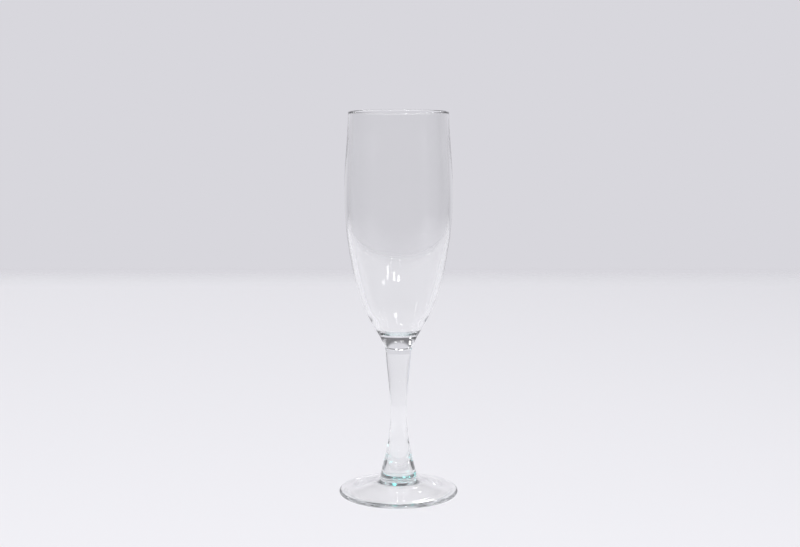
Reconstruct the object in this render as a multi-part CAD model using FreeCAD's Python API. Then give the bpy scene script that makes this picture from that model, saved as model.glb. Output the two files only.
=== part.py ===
"""Champagne flute of clear soda-lime glass, in three fused pieces: bowl, stem and foot.

Millimetres, +Z up.  The origin is the middle of the foot's resting face, and every piece
is turned about the Z axis.  The pieces are made one by one and fused while hot, so each
is a closed solid of its own, and two neighbours share one flat, round weld face.
"""
import FreeCAD
import Part
import os
from FreeCAD import Vector

# ---- driving dimensions -----------------------------------------------------------------
TOTAL_HEIGHT = 195.0        # resting face to the top of the lip

# bowl, outside
LIP_RADIUS = 25.1           # to the outside of the rounded lip
SHOULDER_RADIUS = 26.5      # above the belly, before the wall leans in to the lip
SHOULDER_HEIGHT = 171.0
BELLY_RADIUS = 27.15        # widest place
BELLY_HEIGHT = 150.0
FLANK_RADIUS = 22.85        # where the belly has turned into the taper
FLANK_HEIGHT = 115.0
TAPER_RADIUS = 15.0         # on the taper, just above the solid base
TAPER_HEIGHT = 91.2

# bowl, inside
LIP_THICKNESS = 1.3         # cracked off, ground and fire-polished to a half round
CAVITY = (                  # radius and height of the blown wall's inside, from the top down
    (24.65, 171.0),
    (25.20, 150.0),
    (23.75, 132.0),
    (20.45, 115.0),
    (16.25, 100.0),
    (12.80, 92.0),
    (10.70, 88.6),          # the wall turns into the floor between here
    (9.20, 85.8),
    (7.60, 84.2),           # and here
)
CAVITY_FLOOR_HEIGHT = 83.9  # lowest point inside, with solid glass below it

# stem
TOP_WELD_RADIUS = 6.95      # bowl to stem
TOP_WELD_HEIGHT = 75.8
NECK_RADIUS = 6.3           # just under the swelling of the upper weld
NECK_HEIGHT = 71.6
WAIST_RADIUS = 4.05         # thinnest place
WAIST_HEIGHT = 43.0
FLARE_RADIUS = 7.15         # on the flare, above the foot
FLARE_HEIGHT = 18.0
FOOT_WELD_RADIUS = 9.6      # stem to foot
FOOT_WELD_HEIGHT = 7.2

# foot
FOOT_RADIUS = 30.4
FOOT_EDGE_THICKNESS = 2.0   # pressed, with a fire-polished half-round edge
FOOT_TOP = (                # radius and height of the top, a flat cone, from the edge inwards
    (22.0, 3.75),
    (17.5, 4.85),
    (14.0, 5.80),
    (11.2, 6.60),
)
UNDERSIDE = (               # radius and height of the hollow underside, from the ring inwards
    (17.5, 2.50),
    (9.0, 4.70),
)
UNDERSIDE_TOP_HEIGHT = 5.4
REST_RING_INNER_RADIUS = 27.0   # only the flat ring outside this touches the table

# directions, as radius and height
UP = Vector(0, 0, 1)
DOWN = Vector(0, 0, -1)
INWARD = Vector(-1, 0, 0)
TOP_WELD_DIRECTION = Vector(0.36, 0, 1)     # both sides of a weld run the same way
FOOT_WELD_DIRECTION = Vector(-0.16, 0, 1)
CREASE_DIRECTION = Vector(-0.7, 0, 0.3)     # the foot meets the stem in a crease
RING_DIRECTION = Vector(-1, 0, 0.02)        # the underside leaves the ring almost flat


def at(radius, height):
    """A point of a half outline, in the XZ plane."""
    return Vector(radius, 0, height)


def line(start, end):
    """A straight stretch of an outline."""
    return Part.makeLine(start, end)


def half_round(start, middle, end):
    """A round stretch of an outline, through three points."""
    return Part.Arc(start, middle, end).toShape()


def curve(points, start_direction, end_direction):
    """A smooth stretch through the points, with the given directions at its two ends."""
    spline = Part.BSplineCurve()
    spline.interpolate(
        Points=points, InitialTangent=start_direction, FinalTangent=end_direction
    )
    return spline.toShape()


def turned(edges):
    """The solid that a closed half outline makes when it is turned about the Z axis."""
    solid = Part.Face(Part.Wire(edges)).revolve(Vector(0, 0, 0), UP, 360)
    if solid.Volume < 0:
        solid.reverse()
    return solid


def make_bowl():
    """A blown bowl: belly and taper, a wall that thickens downwards, a solid base."""
    lip_round = LIP_THICKNESS / 2
    lip_outside = at(LIP_RADIUS, TOTAL_HEIGHT - lip_round)
    lip_top = at(LIP_RADIUS - lip_round, TOTAL_HEIGHT)
    lip_inside = at(LIP_RADIUS - LIP_THICKNESS, TOTAL_HEIGHT - lip_round)
    weld_middle = at(0, TOP_WELD_HEIGHT)
    weld_edge = at(TOP_WELD_RADIUS, TOP_WELD_HEIGHT)
    floor_middle = at(0, CAVITY_FLOOR_HEIGHT)
    outside = curve(
        [
            weld_edge,
            at(TAPER_RADIUS, TAPER_HEIGHT),
            at(FLANK_RADIUS, FLANK_HEIGHT),
            at(BELLY_RADIUS, BELLY_HEIGHT),
            at(SHOULDER_RADIUS, SHOULDER_HEIGHT),
            lip_outside,
        ],
        TOP_WELD_DIRECTION,
        UP,
    )
    inside = curve(
        [
            lip_inside,
            *[at(radius, height) for radius, height in CAVITY],
            floor_middle,
        ],
        DOWN,
        INWARD,
    )
    return turned(
        [
            line(weld_middle, weld_edge),
            outside,
            half_round(lip_outside, lip_top, lip_inside),
            inside,
            line(floor_middle, weld_middle),
        ]
    )


def make_stem():
    """A solid waisted stem, flared at both ends."""
    foot_weld_middle = at(0, FOOT_WELD_HEIGHT)
    foot_weld_edge = at(FOOT_WELD_RADIUS, FOOT_WELD_HEIGHT)
    top_weld_edge = at(TOP_WELD_RADIUS, TOP_WELD_HEIGHT)
    top_weld_middle = at(0, TOP_WELD_HEIGHT)
    flank = curve(
        [
            foot_weld_edge,
            at(FLARE_RADIUS, FLARE_HEIGHT),
            at(WAIST_RADIUS, WAIST_HEIGHT),
            at(NECK_RADIUS, NECK_HEIGHT),
            top_weld_edge,
        ],
        FOOT_WELD_DIRECTION,
        TOP_WELD_DIRECTION,
    )
    return turned(
        [
            line(foot_weld_middle, foot_weld_edge),
            flank,
            line(top_weld_edge, top_weld_middle),
            line(top_weld_middle, foot_weld_middle),
        ]
    )


def make_foot():
    """A pressed foot: a thin flat cone, hollow underneath, with a ring to stand on."""
    edge_round = FOOT_EDGE_THICKNESS / 2
    edge_top = at(FOOT_RADIUS - edge_round, FOOT_EDGE_THICKNESS)
    edge_side = at(FOOT_RADIUS, edge_round)
    edge_bottom = at(FOOT_RADIUS - edge_round, 0)
    ring_inside = at(REST_RING_INNER_RADIUS, 0)
    underside_middle = at(0, UNDERSIDE_TOP_HEIGHT)
    weld_middle = at(0, FOOT_WELD_HEIGHT)
    weld_edge = at(FOOT_WELD_RADIUS, FOOT_WELD_HEIGHT)
    underside = curve(
        [
            ring_inside,
            *[at(radius, height) for radius, height in UNDERSIDE],
            underside_middle,
        ],
        RING_DIRECTION,
        INWARD,
    )
    top = curve(
        [
            edge_top,
            *[at(radius, height) for radius, height in FOOT_TOP],
            weld_edge,
        ],
        INWARD,
        CREASE_DIRECTION,
    )
    return turned(
        [
            line(edge_bottom, ring_inside),
            underside,
            line(underside_middle, weld_middle),
            line(weld_middle, weld_edge),
            top,
            half_round(edge_top, edge_side, edge_bottom),
        ]
    )


PIECES = {"bowl": make_bowl(), "stem": make_stem(), "foot": make_foot()}

os.makedirs("parts", exist_ok=True)
for name, solid in PIECES.items():
    low, high = solid.BoundBox.ZMin, solid.BoundBox.ZMax
    print("%s: valid %s, %.1f cm3, from %.1f to %.1f mm high"
          % (name, solid.isValid(), solid.Volume / 1000, low, high))
    solid.exportStep("parts/" + name + ".step")
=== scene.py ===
# %% [markdown]
# # A champagne flute in Blender
#
# The flute is clear soda-lime glass in three pieces that are fused while hot: a blown bowl, a
# solid pressed stem and a pressed foot. Their shapes and sizes are fixed in CAD. This script
# loads that model as a frame, rebuilds each piece as a smooth mesh on the same measures, gives
# it a real glass material, and sets it on a pale table in soft light.

# %% Load the frame
import math

import bpy
import numpy as np
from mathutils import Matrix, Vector


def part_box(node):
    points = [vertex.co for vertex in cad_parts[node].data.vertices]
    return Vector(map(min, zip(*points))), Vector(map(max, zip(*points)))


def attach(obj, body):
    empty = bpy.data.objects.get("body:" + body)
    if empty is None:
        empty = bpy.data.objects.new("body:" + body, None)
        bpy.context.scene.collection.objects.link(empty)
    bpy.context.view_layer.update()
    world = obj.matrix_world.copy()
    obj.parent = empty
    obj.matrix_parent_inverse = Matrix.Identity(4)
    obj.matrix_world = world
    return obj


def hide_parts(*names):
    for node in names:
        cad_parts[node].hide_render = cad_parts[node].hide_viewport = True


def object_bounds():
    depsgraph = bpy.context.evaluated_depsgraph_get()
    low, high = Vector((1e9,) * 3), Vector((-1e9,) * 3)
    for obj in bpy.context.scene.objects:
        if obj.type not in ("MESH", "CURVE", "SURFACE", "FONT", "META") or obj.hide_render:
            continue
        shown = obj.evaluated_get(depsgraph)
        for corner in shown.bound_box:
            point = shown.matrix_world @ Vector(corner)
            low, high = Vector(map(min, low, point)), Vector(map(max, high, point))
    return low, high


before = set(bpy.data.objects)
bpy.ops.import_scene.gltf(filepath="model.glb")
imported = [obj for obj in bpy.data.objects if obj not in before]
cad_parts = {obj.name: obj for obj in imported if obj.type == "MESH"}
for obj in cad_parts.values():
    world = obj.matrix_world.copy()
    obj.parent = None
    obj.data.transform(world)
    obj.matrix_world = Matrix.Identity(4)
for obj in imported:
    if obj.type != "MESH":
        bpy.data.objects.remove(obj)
cad_low, cad_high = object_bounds()
HEIGHT = cad_high.z - cad_low.z
FOOT_RADIUS = (cad_high.x - cad_low.x) / 2
print("flute: %.1f mm high, foot %.1f mm across" % (HEIGHT * 1000, FOOT_RADIUS * 2000))

# %% [markdown]
# ## Small tools
#
# Blender works in metres and in linear light. Sizes that are easier to picture in millimetres
# are divided by 1000 in one place, and colours are written as the hex values of a colour picker
# and turned to linear light by one function. One more function adds a node with its settings
# and links, which keeps every node tree below short. The settings that come up most often, such
# as those of a Math node that multiplies, have names of their own.

# %% Millimetres, colours and nodes
def mm(value):
    """Millimetres as metres."""
    return value / 1000


def linear(hex_colour):
    """An sRGB hex colour as linear red, green, blue and alpha."""
    parts = [int(hex_colour[i:i + 2], 16) / 255 for i in (1, 3, 5)]
    return tuple(c / 12.92 if c <= 0.04045 else ((c + 0.055) / 1.055) ** 2.4 for c in parts) + (1,)


def add(tree, kind, settings=None, **inputs):
    """Adds a node. Settings are its own properties; inputs are values, or what to link to them.

    A socket is linked as it is, and a node by its first output. An input is called by its
    name, with _ for a space, or by its place, as in i0 and i1.
    """
    node = tree.nodes.new(kind)
    for name, value in (settings or {}).items():
        setattr(node, name, value)
    for name, value in inputs.items():
        key = int(name[1:]) if name[0] == "i" and name[1:].isdigit() else name.replace("_", " ")
        if isinstance(value, bpy.types.Node):
            value = value.outputs[0]
        if isinstance(value, bpy.types.NodeSocket):
            tree.links.new(value, node.inputs[key])
        else:
            node.inputs[key].default_value = value
    return node


PLUS, MINUS = {"operation": "ADD"}, {"operation": "SUBTRACT"}
TIMES, DIVIDED = {"operation": "MULTIPLY"}, {"operation": "DIVIDE"}
LEAST, MOST = {"operation": "MINIMUM"}, {"operation": "MAXIMUM"}
SMOOTH = {"interpolation_type": "SMOOTHSTEP"}
print("middle grey in linear light: %.3f" % linear("#808080")[0])

# %% [markdown]
# ## Camera
#
# A flute is a tall, slim thing, and a fairly long lens shows it without stretching the foot. The
# camera stands almost four glass heights away and a little above the rim, and looks slightly
# down, so the rim is nearly a line and the foot a clear ellipse.

# %% Camera
CAMERA_DISTANCE = 3.851 * HEIGHT
CAMERA_HEIGHT = 1.144 * HEIGHT
CAMERA_ASIDE = 0.0038 * HEIGHT
CAMERA_PITCH = math.radians(8.29)
LENS = 67.7

camera_data = bpy.data.cameras.new("camera")
camera_data.lens = LENS
camera_data.sensor_width = 36.0
camera = bpy.data.objects.new("camera", camera_data)
camera.location = (CAMERA_ASIDE, -CAMERA_DISTANCE, CAMERA_HEIGHT)
camera.rotation_euler = (math.radians(90) - CAMERA_PITCH, 0, 0)
bpy.context.scene.collection.objects.link(camera)
bpy.context.scene.camera = camera
print("camera %.0f mm away, %.0f mm up" % (CAMERA_DISTANCE * 1000, CAMERA_HEIGHT * 1000))

# %% [markdown]
# ## Table
#
# Glass has no look of its own: it shows what is around it, bent and mirrored. A white table in
# front of a slightly darker wall gives the bowl a light lower half and a grey upper half. The
# table is one flat sheet. Its paint fades out towards all four edges, because a sharp edge would
# come back in the glass as a hard line. It lies a hair below the foot, so that the two surfaces
# never share a place.

# %% Table
TABLE_GAP = mm(0.05)
PAINT = linear("#E7E7E8")
PAINT_ROUGHNESS, PAINT_GLOSS = 0.7, 0.2
EDGES = {   # axis, where the paint has faded out, and where it is still solid
    "west": ("X", -4.6 * HEIGHT, -1.8 * HEIGHT),
    "east": ("X", 4.6 * HEIGHT, 1.8 * HEIGHT),
    "south": ("Y", -2.6 * HEIGHT, -0.7 * HEIGHT),
    "north": ("Y", 4.25 * HEIGHT, 3.5 * HEIGHT),
}

table_mesh = bpy.data.meshes.new("table")
west, east, south, north = (EDGES[side][1] for side in ("west", "east", "south", "north"))
corners = [(west, south), (east, south), (east, north), (west, north)]
table_mesh.from_pydata([(x, y, -TABLE_GAP) for x, y in corners], [], [(0, 1, 2, 3)])
table = bpy.data.objects.new("table", table_mesh)
bpy.context.scene.collection.objects.link(table)

paint = bpy.data.materials.new("white matt table paint")
paint.use_nodes = True
tree = paint.node_tree
shader = tree.nodes["Principled BSDF"]
shader.inputs["Base Color"].default_value = PAINT
shader.inputs["Roughness"].default_value = PAINT_ROUGHNESS
shader.inputs["Specular IOR Level"].default_value = PAINT_GLOSS
place = add(tree, "ShaderNodeTexCoord").outputs["Object"]
along = add(tree, "ShaderNodeSeparateXYZ", Vector=place).outputs
solid = 1.0
for axis, outer, inner in EDGES.values():
    fade = add(tree, "ShaderNodeMapRange", SMOOTH, Value=along[axis], From_Min=outer, From_Max=inner)
    solid = add(tree, "ShaderNodeMath", LEAST, i0=fade, i1=solid)
tree.links.new(solid.outputs[0], shader.inputs["Alpha"])
table_mesh.materials.append(paint)
print("table: %.0f mm wide, %.0f mm deep" % ((east - west) * 1000, (north - south) * 1000))

# %% [markdown]
# ## Room
#
# The wall is plain and evenly lit, and the table is lit by it as well. The glass also sees the
# rest of the room, which is what draws its outline: a dark side to the right, a dim ceiling, a
# cool window to the left, and a front that is dimmer than the wall, as the room behind a camera
# is. Each is a soft change with the direction of a ray. Dark cards set up round the glass would
# do the same, but they would also shade the table. A ray that comes straight from the camera or
# from the table sees only the plain wall.

# %% Room
WALL = linear("#D8D7DD")
WINDOW = linear("#DADDE6")
WINDOW_STRENGTH = 1.05
MIRRORED_WINDOW = 0.2
MIRRORED_FRONT, DARK_SIDE, CEILING = 0.4, 0.2, 0.25
# where each change starts and ends, as a part of the direction along one axis
FRONT_FROM, FRONT_TO = 0.95, 0.3
SIDE_FROM, SIDE_TO = 0.8, 0.95
CEILING_FROM, CEILING_TO = 0.34, 0.46
WINDOW_FROM, WINDOW_TO = -0.7, -0.95

world = bpy.data.worlds.new("room")
bpy.context.scene.world = world
world.use_nodes = True
tree = world.node_tree
tree.nodes.clear()
path = add(tree, "ShaderNodeLightPath").outputs
direction = add(tree, "ShaderNodeTexCoord").outputs["Generated"]
way = add(tree, "ShaderNodeSeparateXYZ", Vector=direction).outputs
mirrored = add(tree, "ShaderNodeMath", LEAST, i0=path["Glossy Depth"], i1=1.0)
scattered = add(tree, "ShaderNodeMath", LEAST, i0=path["Diffuse Depth"], i1=1.0)
direct = add(tree, "ShaderNodeMath", MOST, i0=path["Is Camera Ray"], i1=scattered)

backwards = add(tree, "ShaderNodeMath", PLUS, i0=way["Y"], i1=way["Z"])
front = add(tree, "ShaderNodeMapRange", SMOOTH, Value=backwards,
            From_Min=FRONT_FROM, From_Max=FRONT_TO, To_Max=1.0 - MIRRORED_FRONT)
dimmed = add(tree, "ShaderNodeMath", TIMES, i0=mirrored, i1=front)
light = add(tree, "ShaderNodeMath", MINUS, i0=1.0, i1=dimmed)
side = add(tree, "ShaderNodeMapRange", SMOOTH, Value=way["X"],
           From_Min=SIDE_FROM, From_Max=SIDE_TO, To_Min=1.0, To_Max=DARK_SIDE)
ceiling = add(tree, "ShaderNodeMapRange", SMOOTH, Value=way["Z"],
              From_Min=CEILING_FROM, From_Max=CEILING_TO, To_Min=1.0, To_Max=CEILING)
for darker in (side, ceiling):
    light = add(tree, "ShaderNodeMath", LEAST, i0=light, i1=darker)
strength = add(tree, "ShaderNodeMath", MOST, i0=light, i1=direct)
wall = add(tree, "ShaderNodeBackground", Color=WALL, Strength=strength)

left = add(tree, "ShaderNodeMapRange", SMOOTH, Value=way["X"], From_Min=WINDOW_FROM, From_Max=WINDOW_TO)
weaker = add(tree, "ShaderNodeMath", TIMES, i0=mirrored, i1=1.0 - MIRRORED_WINDOW)
hidden = add(tree, "ShaderNodeMath", MOST, i0=direct, i1=weaker)
shown = add(tree, "ShaderNodeMath", MINUS, i0=1.0, i1=hidden)
daylight = add(tree, "ShaderNodeMath", TIMES, i0=left, i1=shown)
window = add(tree, "ShaderNodeBackground", Color=WINDOW, Strength=WINDOW_STRENGTH)
room = add(tree, "ShaderNodeMixShader", i0=daylight, i1=wall, i2=window)
add(tree, "ShaderNodeOutputWorld", Surface=room)
print("room: %d nodes" % len(tree.nodes))

# %% [markdown]
# ## Lamps
#
# Two large panels high up on the camera's side light the table softly. Two behind the glass
# are mirrored on the foot and in the neck. Four strips, lower down on the camera's side, are
# there for the small lights in the hollow of the bowl, which mirrors them as bright strokes: a
# wide strip makes a stroke wide enough to see, and a low one keeps it short.

# %% Lamps
LAMPS = {   # azimuth, elevation in degrees; distance, width, height in glass heights; watts
    "lamp_back_right": (7, 35, 10.0, 0.9, 0.9, 1.2),
    "lamp_back_left": (-40, 34, 10.0, 1.2, 1.2, 2.6),
    "lamp_front_left": (-150, 62, 11.0, 1.8, 1.8, 9.0),
    "lamp_front_right": (160, 55, 11.0, 1.8, 1.8, 9.0),
    "spot_1": (128, 21, 12.0, 0.9, 0.35, 0.9),
    "spot_2": (146, 20, 12.0, 1.1, 0.35, 1.1),
    "spot_3": (166, 22, 12.0, 1.3, 0.35, 1.3),
    "spot_4": (180, 23, 12.0, 1.3, 0.35, 1.3),
}


def add_lamp(name, azimuth, elevation, distance, width, height, power):
    """A lamp panel aimed at the glass; azimuth goes clockwise from straight behind it."""
    data = bpy.data.lights.new(name, "AREA")
    data.shape = "RECTANGLE"
    data.size = width * HEIGHT
    data.size_y = height * HEIGHT
    data.energy = power
    lamp = bpy.data.objects.new(name, data)
    a, e = math.radians(azimuth), math.radians(elevation)
    way = Vector((math.sin(a) * math.cos(e), math.cos(a) * math.cos(e), math.sin(e)))
    lamp.location = way * distance * HEIGHT
    lamp.rotation_euler = way.to_track_quat("Z", "Y").to_euler()
    bpy.context.scene.collection.objects.link(lamp)


for name, settings in LAMPS.items():
    add_lamp(name, *settings)
print("%d lamps, %.1f W in all" % (len(LAMPS), sum(settings[-1] for settings in LAMPS.values())))

# %% [markdown]
# ## Measures from the CAD bodies
#
# Every piece is round, so a half outline is enough. It is read off the CAD body: where the
# body's edges cross a level, their distances from the axis give the outside and the inside of
# the wall, and where they cross a radius, their levels give the top and the underside. A smooth
# curve through these few points has none of the small facets of the CAD mesh, which would show
# in glass as broken reflections.

# %% Cut a body at a level or at a radius
RADIUS, LEVEL = 0, 1


def crossings(node, measure, value):
    """Where the CAD body's edges cross a radius or a level: their other measure, sorted."""
    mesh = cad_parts[node].data
    points = np.empty(len(mesh.vertices) * 3)
    mesh.vertices.foreach_get("co", points)
    points = points.reshape(-1, 3)
    outline = np.column_stack([np.hypot(points[:, 0], points[:, 1]), points[:, 2]])
    ends = np.empty(len(mesh.edges) * 2, int)
    mesh.edges.foreach_get("vertices", ends)
    a, b = outline[ends.reshape(-1, 2).T]
    crosses = (a[:, measure] - value) * (b[:, measure] - value) < 0
    a, b = a[crosses], b[crosses]
    along = (value - a[:, measure]) / (b[:, measure] - a[:, measure])
    other = 1 - measure
    return np.sort(a[:, other] + along * (b[:, other] - a[:, other]))


def outside_at(node, level):
    """The outside of a body, as a point of its outline."""
    return crossings(node, LEVEL, level)[-1], level


def inside_at(node, level):
    """The inside of a wall, as a point of its outline."""
    radii = crossings(node, LEVEL, level)
    return radii[radii < (radii[0] + radii[-1]) / 2][-1], level


def top_at(node, radius):
    """The top of a body, as a point of its outline."""
    return radius, crossings(node, RADIUS, radius)[-1]


def bottom_at(node, radius):
    """The underside of a body, as a point of its outline."""
    return radius, crossings(node, RADIUS, radius)[0]


halfway = (cad_low.z + cad_high.z) / 2
print("halfway up, %.1f mm, the bowl is %.1f mm across"
      % (halfway * 1000, outside_at("bowl", halfway)[0] * 2000))

# %% [markdown]
# ## Outlines
#
# A cubic spline through the measured points, with a given direction at each end, makes the long
# stretches, as it does in CAD, and it is held at the same levels and radii. The lip and the edge
# of the foot are half rounds, and the weld faces are straight. Each outline starts and ends on
# the axis, so the turned body is closed. The bowl and the foot stop a hair short of the stem, so
# that no two faces share a place.

# %% Curves of a half outline
FINE_STEP = mm(0.8)
ROUND_STEPS = 14
LIP_THICKNESS = mm(1.3)


def smooth_curve(points, start, end):
    """Points along a spline through the given (radius, height) points, ends included."""
    p = np.array(points, float)
    span = np.linalg.norm(np.diff(p, axis=0), axis=1)
    count = len(p)
    matrix, right = np.eye(count), np.empty((count, 2))
    right[0] = np.array(start) / np.linalg.norm(start)
    right[-1] = np.array(end) / np.linalg.norm(end)
    for i in range(1, count - 1):
        before, after = 1 / span[i - 1], 1 / span[i]
        matrix[i, i - 1:i + 2] = before, 2 * (before + after), after
        right[i] = 3 * ((p[i] - p[i - 1]) * before ** 2 + (p[i + 1] - p[i]) * after ** 2)
    direction = np.linalg.solve(matrix, right)
    stretch = [p[:1]]
    for i in range(count - 1):
        steps = math.ceil(span[i] / FINE_STEP)
        s = (np.arange(1, steps + 1) / steps)[:, None]
        stretch.append(
            (1 + 2 * s) * (1 - s) ** 2 * p[i] + s ** 2 * (3 - 2 * s) * p[i + 1]
            + span[i] * (s * (1 - s) ** 2 * direction[i] - s ** 2 * (1 - s) * direction[i + 1])
        )
    return np.vstack(stretch)


def half_round(start, end, side):
    """A half circle from start to end; side is +1 where it bulges to the right of that way."""
    start, end = np.array(start), np.array(end)
    middle, arm = (start + end) / 2, (start - end) / 2
    across = side * np.array([-arm[1], arm[0]])
    turn = np.linspace(0, math.pi, ROUND_STEPS + 1)[:, None]
    return middle + np.cos(turn) * arm + np.sin(turn) * across


def joined(*stretches):
    """One outline from several stretches, with the shared end points taken once."""
    points = [np.atleast_2d(stretches[0])]
    for stretch in stretches[1:]:
        stretch = np.atleast_2d(stretch)
        if np.allclose(points[-1][-1], stretch[0], atol=1e-9):
            stretch = stretch[1:]
        points.append(stretch)
    return np.vstack(points)


print("a half round of %d steps is %.2f mm fine on the lip's curve"
      % (ROUND_STEPS, 1000 * math.pi * LIP_THICKNESS / 2 / ROUND_STEPS))

# %% Outline of the bowl
WELD_GAP = mm(0.002)
AXIS = mm(0.01)
UP, DOWN, INWARD, OUTWARD = (0, 1), (0, -1), (-1, 0), (1, 0)
TOP_WELD_DIRECTION = (0.36, 1)
FOOT_WELD_DIRECTION = (-0.16, 1)
BOWL_LEVELS = [mm(z) for z in (91.2, 115.0, 150.0, 171.0)]
WALL_LEVELS = [mm(z) for z in (171.0, 150.0, 132.0, 115.0, 100.0, 92.0)]
FLOOR_RADII = [mm(r) for r in (10.7, 9.2, 7.6)]

bowl_low, bowl_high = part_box("bowl")
top_weld_radius = outside_at("stem", bowl_low.z - AXIS)[0]
lip_level = cad_high.z - LIP_THICKNESS / 2
lip_outside, lip_inside = outside_at("bowl", lip_level), inside_at("bowl", lip_level)
floor_middle = (0, top_at("bowl", AXIS)[1])

bowl_outline = joined(
    (0, bowl_low.z + WELD_GAP),
    smooth_curve(
        [(top_weld_radius, bowl_low.z + WELD_GAP)]
        + [outside_at("bowl", z) for z in BOWL_LEVELS]
        + [lip_outside], TOP_WELD_DIRECTION, UP),
    half_round(lip_outside, lip_inside, 1),
    smooth_curve(
        [lip_inside]
        + [inside_at("bowl", z) for z in WALL_LEVELS]
        + [top_at("bowl", r) for r in FLOOR_RADII]
        + [floor_middle], DOWN, INWARD),
)
wall = [1000 * (outside_at("bowl", z)[0] - inside_at("bowl", z)[0]) for z in WALL_LEVELS]
print("bowl outline: %d points, wall from %.2f mm at the belly to %.2f mm low on the taper"
      % (len(bowl_outline), wall[1], wall[-1]))

# %% Outline of the stem
STEM_LEVELS = [mm(z) for z in (18.0, 43.0, 71.6)]
stem_low, stem_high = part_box("stem")
foot_weld_radius = outside_at("stem", stem_low.z + AXIS)[0]
stem_outline = joined(
    (0, stem_low.z),
    smooth_curve(
        [(foot_weld_radius, stem_low.z)]
        + [outside_at("stem", z) for z in STEM_LEVELS]
        + [(top_weld_radius, stem_high.z)], FOOT_WELD_DIRECTION, TOP_WELD_DIRECTION),
    (0, stem_high.z),
)
print("stem outline: %d points" % len(stem_outline))

# %% Outline of the foot
EDGE_THICKNESS = mm(2.0)
REST_RING_INNER_RADIUS = mm(27.0)
FOOT_TOP_RADII = [mm(r) for r in (22.0, 17.5, 14.0, 11.2)]
UNDERSIDE_RADII = [mm(r) for r in (9.0, 17.5)]
CREASE_DIRECTION = (-0.7, 0.3)
RING_DIRECTION = (1, -0.02)
RING_STEPS = 5

edge_radius = FOOT_RADIUS - EDGE_THICKNESS / 2
foot_top = stem_low.z - WELD_GAP
underside_middle = (0, bottom_at("foot", AXIS)[1])

foot_outline = joined(
    smooth_curve(
        [underside_middle]
        + [bottom_at("foot", r) for r in UNDERSIDE_RADII]
        + [(REST_RING_INNER_RADIUS, 0)], OUTWARD, RING_DIRECTION),
    [(r, 0) for r in np.linspace(REST_RING_INNER_RADIUS, edge_radius, RING_STEPS)],
    half_round((edge_radius, 0), (edge_radius, EDGE_THICKNESS), 1),
    smooth_curve(
        [(edge_radius, EDGE_THICKNESS)]
        + [top_at("foot", r) for r in FOOT_TOP_RADII]
        + [(foot_weld_radius, foot_top)], INWARD, CREASE_DIRECTION),
    (0, foot_top),
)
print("foot outline: %d points" % len(foot_outline))

# %% [markdown]
# ## The lathe
#
# A turned body follows one rule: every point of the half outline goes round the axis. Geometry
# Nodes say this directly. A grid is made with one column for each step round the axis and one
# row for each point of the outline, and each of its points is moved to the outline's radius and
# height. Merging the points that fall together closes the seam and the poles.
# A weld face is where two pieces are fused. It has no surface on the real glass, so it gets a
# material of its own.

# %% Geometry Nodes lathe
SEGMENTS = 192
MERGE_DISTANCE = 1e-6


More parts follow.
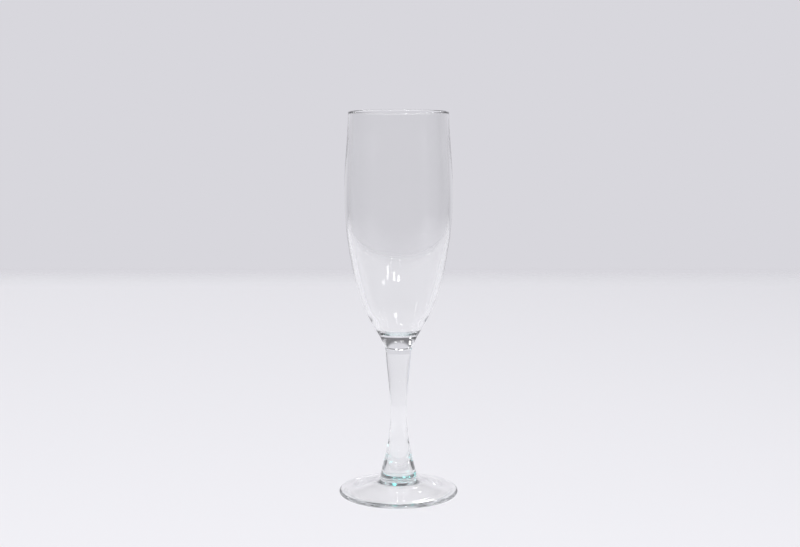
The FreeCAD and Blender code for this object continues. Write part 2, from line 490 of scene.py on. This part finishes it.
def build_lathe():
    """Turns the object's own half outline into a closed body."""
    tree = bpy.data.node_groups.new("lathe", "GeometryNodeTree")
    sockets = {}
    for name, kind in (("Outline", "Geometry"), ("Segments", "Int"), ("Weld at start", "Bool"),
                       ("Weld at end", "Bool"), ("Glass", "Material"), ("Weld", "Material")):
        sockets[name] = tree.interface.new_socket(name, in_out="INPUT", socket_type="NodeSocket" + kind)
    tree.interface.new_socket("Body", in_out="OUTPUT", socket_type="NodeSocketGeometry")
    given = add(tree, "NodeGroupInput").outputs

    rows = add(tree, "GeometryNodeAttributeDomainSize", {"component": "MESH"},
               Geometry=given["Outline"]).outputs["Point Count"]
    columns = add(tree, "ShaderNodeMath", PLUS, i0=given["Segments"], i1=1.0)
    grid = add(tree, "GeometryNodeMeshGrid", Vertices_X=columns, Vertices_Y=rows)
    index = add(tree, "GeometryNodeInputIndex")

    # the first and the last row of faces can be welds
    face_rows = add(tree, "ShaderNodeMath", MINUS, i0=rows, i1=1.0)
    face_row = add(tree, "ShaderNodeMath", {"operation": "MODULO"}, i0=index, i1=face_rows)
    before_last = add(tree, "ShaderNodeMath", MINUS, i0=face_rows, i1=1.5)
    first = add(tree, "ShaderNodeMath", {"operation": "LESS_THAN"}, i0=face_row, i1=0.5)
    last = add(tree, "ShaderNodeMath", {"operation": "GREATER_THAN"}, i0=face_row, i1=before_last)
    start = add(tree, "FunctionNodeBooleanMath", {"operation": "AND"}, i0=first, i1=given["Weld at start"])
    end = add(tree, "FunctionNodeBooleanMath", {"operation": "AND"}, i0=last, i1=given["Weld at end"])
    weld = add(tree, "FunctionNodeBooleanMath", {"operation": "OR"}, i0=start, i1=end)
    kept = add(tree, "GeometryNodeCaptureAttribute", {"domain": "FACE"}, Geometry=grid)
    kept.capture_items.new("BOOLEAN", "weld")
    tree.links.new(weld.outputs[0], kept.inputs["weld"])

    # each column of points takes the outline's radii and heights, at its own angle
    row = add(tree, "ShaderNodeMath", {"operation": "MODULO"}, i0=index, i1=rows)
    position = add(tree, "GeometryNodeInputPosition")
    on_outline = add(tree, "GeometryNodeSampleIndex", {"data_type": "FLOAT_VECTOR", "domain": "POINT"},
                     Geometry=given["Outline"], Value=position, Index=row)
    part = add(tree, "ShaderNodeSeparateXYZ", Vector=on_outline).outputs
    columns_before = add(tree, "ShaderNodeMath", DIVIDED, i0=index, i1=rows)
    column = add(tree, "ShaderNodeMath", {"operation": "FLOOR"}, i0=columns_before)
    turn = add(tree, "ShaderNodeMath", DIVIDED, i0=column, i1=given["Segments"])
    angle = add(tree, "ShaderNodeMath", TIMES, i0=turn, i1=math.tau)
    cosine = add(tree, "ShaderNodeMath", {"operation": "COSINE"}, i0=angle)
    sine = add(tree, "ShaderNodeMath", {"operation": "SINE"}, i0=angle)
    x = add(tree, "ShaderNodeMath", TIMES, i0=part["X"], i1=cosine)
    y = add(tree, "ShaderNodeMath", TIMES, i0=part["X"], i1=sine)
    place = add(tree, "ShaderNodeCombineXYZ", X=x, Y=y, Z=part["Z"])
    turned = add(tree, "GeometryNodeSetPosition", Geometry=kept, Position=place)

    # closed where points fall together, smooth but for the welds, and given its materials
    closed = add(tree, "GeometryNodeMergeByDistance", Geometry=turned, Distance=MERGE_DISTANCE)
    not_weld = add(tree, "FunctionNodeBooleanMath", {"operation": "NOT"}, i0=kept.outputs["weld"])
    smooth = add(tree, "GeometryNodeSetShadeSmooth", Geometry=closed, Shade_Smooth=not_weld)
    real = add(tree, "GeometryNodeRealizeInstances", Geometry=smooth)
    glass = add(tree, "GeometryNodeSetMaterial", Geometry=real, Material=given["Glass"])
    welded = add(tree, "GeometryNodeSetMaterial", Geometry=glass,
                 Selection=kept.outputs["weld"], Material=given["Weld"])
    add(tree, "NodeGroupOutput", Body=welded)
    return tree, sockets


lathe, lathe_sockets = build_lathe()
print("lathe: %d nodes, %d segments" % (len(lathe.nodes), SEGMENTS))


# %% Turn an outline into a piece
def turned_piece(name, outline, glass, weld, weld_at_start, weld_at_end):
    """A plain mesh object, turned from a half outline by the lathe."""
    wire = bpy.data.meshes.new(name + "_outline")
    wire.from_pydata([(r, 0, z) for r, z in outline], [(i, i + 1) for i in range(len(outline) - 1)], [])
    source = bpy.data.objects.new(name + "_outline", wire)
    bpy.context.scene.collection.objects.link(source)
    modifier = source.modifiers.new("lathe", "NODES")
    modifier.node_group = lathe
    for socket, value in (("Segments", SEGMENTS), ("Weld at start", weld_at_start),
                          ("Weld at end", weld_at_end), ("Glass", glass), ("Weld", weld)):
        modifier[lathe_sockets[socket].identifier] = value
    seen = source.evaluated_get(bpy.context.evaluated_depsgraph_get())
    mesh = bpy.data.meshes.new_from_object(seen)
    mesh.name = name
    bpy.data.objects.remove(source)
    piece = bpy.data.objects.new(name, mesh)
    bpy.context.scene.collection.objects.link(piece)
    return piece


# %% [markdown]
# ## Glass
#
# Soda-lime glass bends light by an index of about 1.52 and is clear, with a faint blue-green
# from iron that shows only where light goes far through it, as in the foot's edge. The tint is
# therefore an absorption in the volume, not a colour on the surface. A mould and a blowing iron
# both leave the surface fire-bright, so it has no grain, but never quite even: a blown wall has
# long upright waves, and pressed glass small ripples where it first touched the cold mould.
# The waves are about a hundredth of a millimetre deep, so they are a bump.

# %% Glass materials
GLASS_INDEX = 1.52
IRON_TINT = linear("#95DDDD")
TINT_DENSITY = 1.0


def make_glass(name, wave_width, wave_length, wave_depth):
    """Clear glass with waves of the given width, upright length and depth in metres."""
    material = bpy.data.materials.new(name)
    material.use_nodes = True
    tree = material.node_tree
    shader = tree.nodes["Principled BSDF"]
    shader.inputs["Base Color"].default_value = linear("#FFFFFF")
    shader.inputs["Transmission Weight"].default_value = 1.0
    shader.inputs["IOR"].default_value = GLASS_INDEX
    shader.inputs["Roughness"].default_value = 0.0
    place = add(tree, "ShaderNodeTexCoord").outputs["Object"]
    stretched = add(tree, "ShaderNodeMapping", Vector=place,
                    Scale=(1 / wave_width, 1 / wave_width, 1 / wave_length))
    waves = add(tree, "ShaderNodeTexNoise", Vector=stretched, Scale=1.0, Detail=1.0)
    bump = add(tree, "ShaderNodeBump", Height=waves, Strength=1.0, Distance=wave_depth)
    tree.links.new(bump.outputs[0], shader.inputs["Normal"])
    tint = add(tree, "ShaderNodeVolumeAbsorption", Color=IRON_TINT, Density=TINT_DENSITY)
    tree.links.new(tint.outputs[0], tree.nodes["Material Output"].inputs["Volume"])
    return material


def make_weld():
    """The inside of a weld: nothing to see, and the same tint on both sides."""
    material = bpy.data.materials.new("fused glass weld")
    material.use_nodes = True
    tree = material.node_tree
    tree.nodes.remove(tree.nodes["Principled BSDF"])
    clear = add(tree, "ShaderNodeBsdfTransparent")
    tint = add(tree, "ShaderNodeVolumeAbsorption", Color=IRON_TINT, Density=TINT_DENSITY)
    output = tree.nodes["Material Output"]
    tree.links.new(clear.outputs[0], output.inputs["Surface"])
    tree.links.new(tint.outputs[0], output.inputs["Volume"])
    return material


blown_glass = make_glass("blown soda-lime glass, fire-polished",
                         wave_width=mm(6), wave_length=mm(90), wave_depth=mm(0.012))
pressed_glass = make_glass("pressed soda-lime glass, fire-polished",
                           wave_width=mm(5), wave_length=mm(9), wave_depth=mm(0.006))
weld_glass = make_weld()
for material in (blown_glass, pressed_glass, weld_glass):
    print("material:", material.name)

# %% [markdown]
# ## The three pieces
#
# Each piece is turned from its outline, stands for its CAD node and rides on the one body of
# the flute. Clear glass hardly shades a table, but a path tracer finds the light under it only
# slowly. The pieces therefore cast no shadow and stay out of the table's own bounced light, and
# the camera sees the table through them as bright as beside them.

# %% Turn the bowl, the stem and the foot
bowl = turned_piece("flute_bowl", bowl_outline, blown_glass, weld_glass, True, False)
stem = turned_piece("flute_stem", stem_outline, pressed_glass, weld_glass, True, True)
foot = turned_piece("flute_foot", foot_outline, pressed_glass, weld_glass, False, True)


def signed_volume(mesh):
    """Volume from the mesh's triangles; it is positive where faces point outwards."""
    mesh.calc_loop_triangles()
    corners = np.array([[mesh.vertices[i].co for i in t.vertices] for t in mesh.loop_triangles])
    return float(np.einsum("ij,ij->", corners[:, 0], np.cross(corners[:, 1], corners[:, 2])) / 6)


for piece, node, slot in ((bowl, "bowl", "blown_glass"), (stem, "stem", "pressed_glass"),
                          (foot, "foot", "pressed_glass")):
    piece.visible_shadow = False
    piece.visible_diffuse = False
    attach(piece, "root")
    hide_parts(node)
    print("%s: %d faces, %.2f cm3, CAD %.2f cm3"
          % (piece.name, len(piece.data.polygons), signed_volume(piece.data) * 1e6,
             signed_volume(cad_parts[node].data) * 1e6))

# %% [markdown]
# ## Light paths and colour
#
# A ray that crosses the bowl meets four surfaces, and one that goes down the stem can bounce
# inside it many times before it leaves, so rays may be bent more often than Blender's default
# allows. The plain sRGB view keeps the table as pale as it is.

# %% Bounces and view
MOST_BENDS, MOST_MIRRORINGS, MOST_WELDS = 32, 16, 16

cycles = bpy.context.scene.cycles
cycles.max_bounces = MOST_BENDS
cycles.transmission_bounces = MOST_BENDS
cycles.glossy_bounces = MOST_MIRRORINGS
cycles.transparent_max_bounces = MOST_WELDS
bpy.context.scene.view_settings.view_transform = "Standard"
print("a ray may be bent %d times and mirrored %d times" % (MOST_BENDS, MOST_MIRRORINGS))
